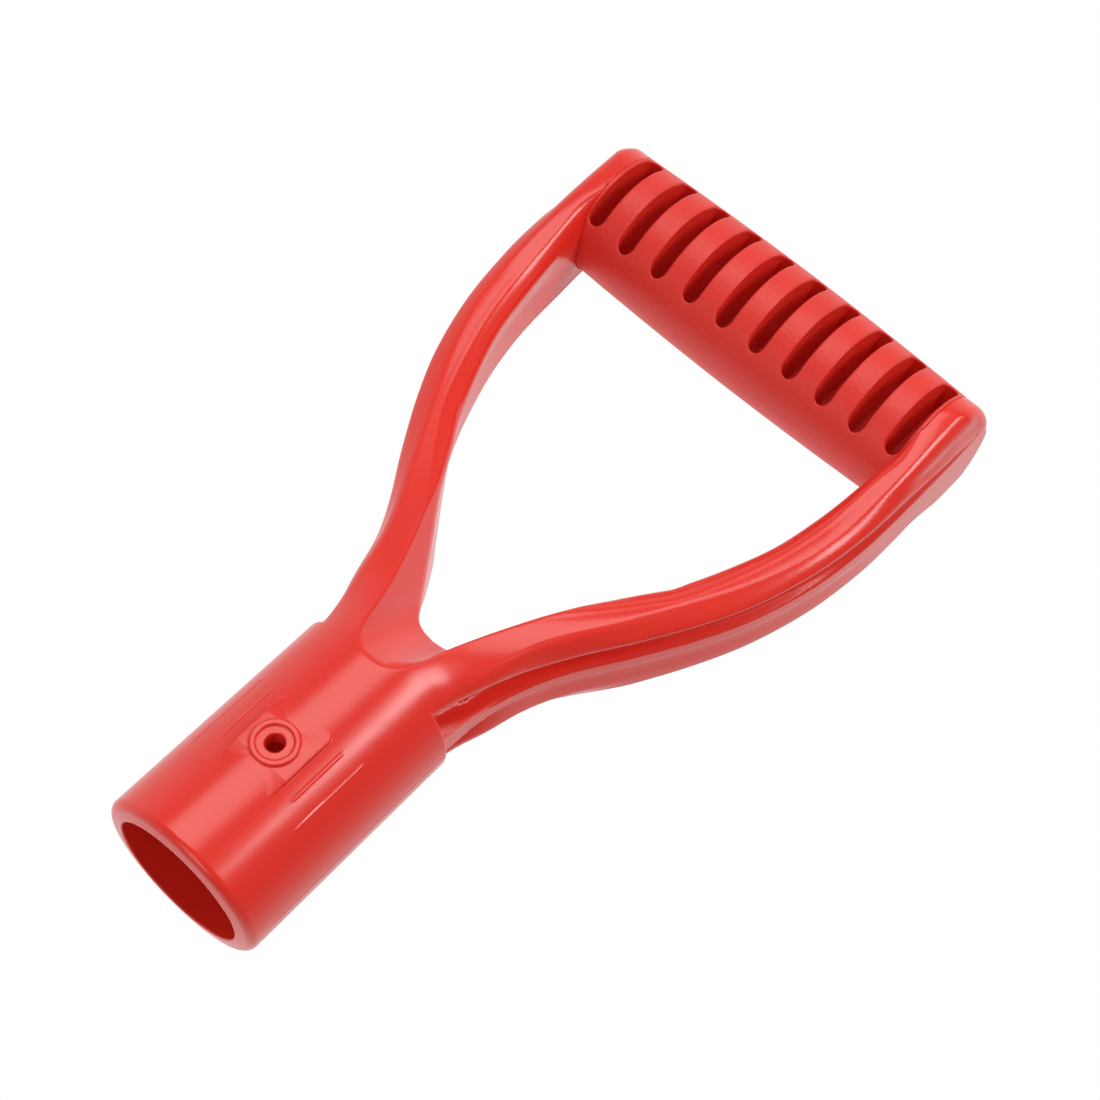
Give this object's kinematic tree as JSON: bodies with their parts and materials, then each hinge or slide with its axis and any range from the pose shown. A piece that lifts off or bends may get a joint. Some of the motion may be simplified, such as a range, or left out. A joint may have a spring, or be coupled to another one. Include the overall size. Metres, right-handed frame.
{
  "type": "tool handle D-grip",
  "caption": "Moulded D-shaped tool handle with a round shaft socket, two swept arms and a ribbed cross grip with slotted pockets.",
  "frame": {"origin": "centre of the socket mouth, in the plane of its rim", "axes": "+Z along the socket axis from the mouth to the grip; X along the grip; -Y out of the screw pad"},
  "size_m": [0.1186, 0.0469, 0.2247],
  "materials": {
    "glossy_red_plastic": "smooth glossy moulded red plastic",
    "textured_red_plastic": "fine spark-textured red plastic"
  },
  "bodies": {
    "root": {"yoke_frame": "glossy_red_plastic", "hand_grip": "textured_red_plastic"}
  },
  "joints": []
}
